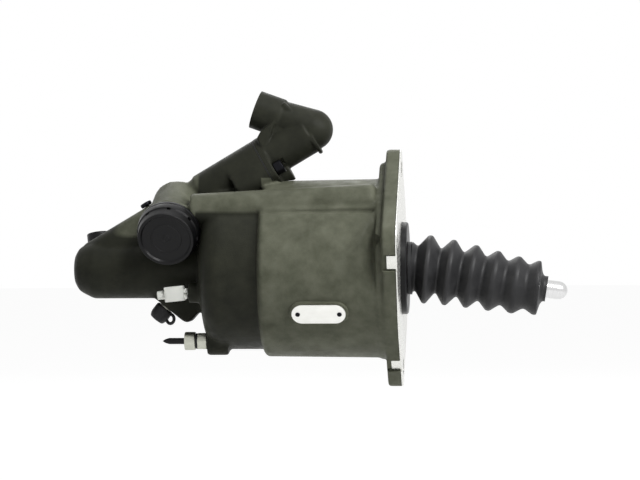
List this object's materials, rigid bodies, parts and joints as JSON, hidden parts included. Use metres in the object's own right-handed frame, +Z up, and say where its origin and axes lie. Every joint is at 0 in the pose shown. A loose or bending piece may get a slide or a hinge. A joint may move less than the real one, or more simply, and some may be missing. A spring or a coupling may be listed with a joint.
{
  "type": "clutch servo",
  "caption": "Hydro-pneumatic clutch servo with a flanged air cylinder, an inclined control valve under an inlet elbow, and a push rod in a rubber bellows.",
  "frame": {"origin": "centre of the front plate's outer face, on the cylinder's axis", "axes": "+X is the way the push rod moves out, +Z is up with the inlet elbow on top, and -Y is the side of the exhaust cap and name plate"},
  "size_m": [0.3598, 0.1672, 0.2152],
  "materials": {
    "cast": "olive-grey die-cast, satin",
    "bright_plate": "bright plated sheet",
    "black_plastic": "moulded, slightly glossy",
    "rubber": "moulded black",
    "inner_steel": "machined",
    "chrome_rod": "hard chrome",
    "zinc": "zinc plated",
    "black_steel": "black oxide",
    "nylon": "natural white",
    "anodised": "anodised",
    "brass": "machined",
    "label": "bare satin sheet",
    "felt": "felt"
  },
  "bodies": {
    "housing": {"main_housing": "cast", "elbow": "cast", "elbow_gasket": "rubber", "elbow_screw_1": "black_steel", "elbow_screw_2": "black_steel", "front_plate": "bright_plate", "front_cover": "black_plastic", "cover_seal": "rubber", "boot": "rubber", "exhaust_cap": "black_plastic", "silencer_pad": "felt", "exhaust_flap": "rubber", "name_plate": "label", "name_plate_rivet_1": "black_steel", "name_plate_rivet_2": "black_steel", "port_plug": "nylon", "bleed_screw": "zinc", "bleed_cap": "rubber", "fitting_body": "zinc", "fitting_o_ring": "rubber", "fitting_sleeve": "zinc", "fitting_plug": "black_plastic", "rear_port_plug": "black_plastic", "drilling_plug": "black_steel", "guide_bush": "brass", "rod_seal": "rubber", "pretension_spring": "inner_steel", "valve_seat": "brass", "valve_guide": "anodised", "valve_spring": "inner_steel"},
    "piston": {"power_piston": "anodised", "piston_seal": "rubber", "piston_guide_ring": "nylon", "seat_retaining_ring": "inner_steel", "hydraulic_plunger": "inner_steel", "plunger_cup_seal": "rubber"},
    "rod_ball_seat": {"ball_seat": "nylon"},
    "rod": {"push_rod": "chrome_rod"},
    "control_piston": {"control_plunger": "inner_steel", "control_plunger_seal": "rubber"},
    "poppet": {"valve_poppet": "rubber"}
  },
  "joints": [
    {"name": "piston_stroke", "type": "slide", "parent": "housing", "child": "piston", "axis": [1, 0, 0], "range_m": [-0.045, 0], "stiffness_N_per_m": 800, "springref_m": 0.04, "deforming": ["pretension_spring", "boot"]},
    {"name": "rod_yaw", "type": "hinge", "parent": "piston", "child": "rod_ball_seat", "pos_m": [-0.02, 0, 0], "axis": [0, 0, 1], "range_deg": [-4, 4], "deforming": ["boot"]},
    {"name": "rod_pitch", "type": "hinge", "parent": "rod_ball_seat", "child": "rod", "pos_m": [-0.02, 0, 0], "axis": [0, -1, 0], "range_deg": [0, 14.2], "deforming": ["boot"]},
    {"name": "control_travel", "type": "slide", "parent": "housing", "child": "control_piston", "axis": [0.8616, 0, 0.5075], "range_m": [0, 0.0022]},
    {"name": "poppet_travel", "type": "slide", "parent": "housing", "child": "poppet", "axis": [0.8616, 0, 0.5075], "range_m": [0, 0.002], "stiffness_N_per_m": 300, "springref_m": -0.005, "deforming": ["valve_spring"]}
  ]
}
